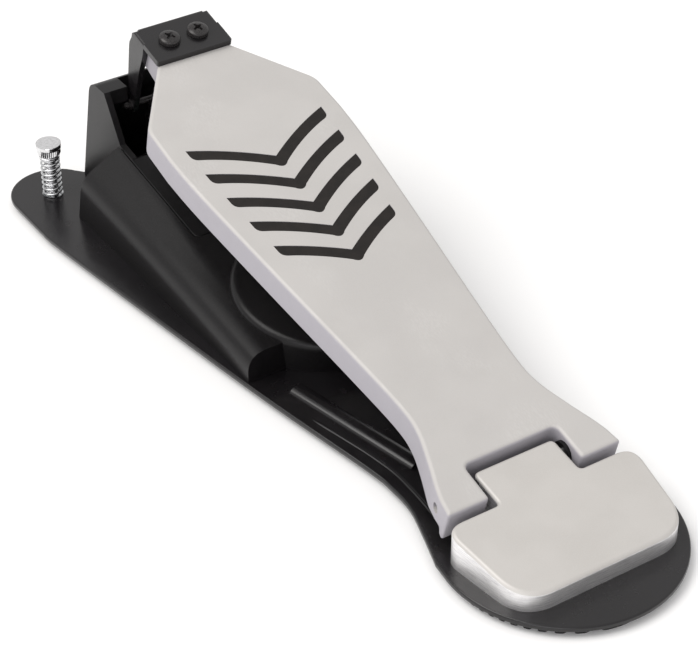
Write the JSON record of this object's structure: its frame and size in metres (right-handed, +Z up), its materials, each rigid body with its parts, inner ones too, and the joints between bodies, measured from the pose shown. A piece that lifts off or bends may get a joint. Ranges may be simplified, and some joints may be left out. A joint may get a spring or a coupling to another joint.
{
  "type": "hi-hat controller pedal",
  "caption": "Foot pedal with a hinged silver footboard over a flared black base, sprung at the toe inside a moulded sensor housing, with a fixed metal heel plate and floor anchor bolts.",
  "frame": {"origin": "on the floor, under the middle of the base plate", "axes": "+Y from the heel end to the toe end, +X to the player's right, +Z up"},
  "size_m": [0.148, 0.4, 0.0956],
  "materials": {
    "black_sheet_steel": "semi-gloss powder coat",
    "black_moulding": "fine spark-eroded texture",
    "silver_board": "fine satin metallic paint",
    "cast_aluminium": "bead-blasted top, brushed sides",
    "grip_grey": "matt",
    "chrome_steel": "bright plated",
    "zinc_steel": "zinc plated",
    "black_screw_steel": "black zinc, satin",
    "black_rubber": "matt",
    "white_nylon": "satin",
    "circuit_green": "solder mask",
    "amber_film": "glossy film"
  },
  "bodies": {
    "base": {"base_plate": "black_sheet_steel", "heel_rubber": "black_rubber", "toe_rubber": "black_rubber", "heel_plate": "cast_aluminium", "heel_plate_screws": "black_screw_steel", "hinge_shaft": "zinc_steel", "shaft_set_screw": "black_screw_steel", "spring_guide": "black_moulding", "return_spring": "zinc_steel", "spring_seat": "white_nylon", "force_sensor": "amber_film", "sensor_board": "circuit_green", "board_screws": "zinc_steel", "lower_cover": "black_moulding", "tower_housing": "black_moulding", "cover_screws": "black_screw_steel", "stop_cushion": "black_rubber", "output_jack": "black_moulding", "jack_washer": "chrome_steel", "jack_nut": "chrome_steel", "anchor_nuts": "zinc_steel", "anchor_spring_left": "chrome_steel", "anchor_spring_right": "chrome_steel"},
    "footboard": {"footboard": "silver_board", "chevron_inlays": "grip_grey", "hinge_bushes": "black_moulding", "toe_bracket": "black_sheet_steel", "bracket_screws": "black_screw_steel", "arm_pin": "black_screw_steel", "pin_clips": "black_screw_steel", "pin_sleeve": "black_moulding"},
    "plunger": {"plunger": "black_moulding"},
    "anchor_washer_left": {"anchor_washer_left": "chrome_steel"},
    "anchor_bolt_left": {"anchor_bolt_left": "chrome_steel"},
    "anchor_washer_right": {"anchor_washer_right": "chrome_steel"},
    "anchor_bolt_right": {"anchor_bolt_right": "chrome_steel"}
  },
  "joints": [
    {"name": "board_hinge", "type": "hinge", "parent": "base", "child": "footboard", "pos_m": [0, -0.12161, 0.01856], "axis": [1, 0, 0], "range_deg": [-5.5, 0], "stiffness_Nm_per_rad": 55, "springref_deg": 5.96},
    {"name": "plunger_slide", "type": "slide", "parent": "base", "child": "plunger", "axis": [0, 0, 1], "range_m": [-0.0276, 0], "deforming": ["return_spring"]},
    {"name": "anchor_travel_left", "type": "slide", "parent": "base", "child": "anchor_washer_left", "axis": [0, 0, 1], "range_m": [-0.006, 0], "deforming": ["anchor_spring_left"]},
    {"name": "anchor_turn_left", "type": "hinge", "parent": "anchor_washer_left", "child": "anchor_bolt_left", "pos_m": [-0.054, 0.179, 0.02], "axis": [0, 0, 1], "range_deg": [-2162, 0]},
    {"name": "anchor_travel_right", "type": "slide", "parent": "base", "child": "anchor_washer_right", "axis": [0, 0, 1], "range_m": [-0.006, 0], "deforming": ["anchor_spring_right"]},
    {"name": "anchor_turn_right", "type": "hinge", "parent": "anchor_washer_right", "child": "anchor_bolt_right", "pos_m": [0.054, 0.179, 0.02], "axis": [0, 0, 1], "range_deg": [-2162, 0]}
  ],
  "couplings": [
    {"joint": "plunger_slide", "follows": "board_hinge", "m_per_rad": 0.2818},
    {"joint": "anchor_turn_left", "follows": "anchor_travel_left", "rad_per_m": 6283.2},
    {"joint": "anchor_turn_right", "follows": "anchor_travel_right", "rad_per_m": 6283.2}
  ]
}
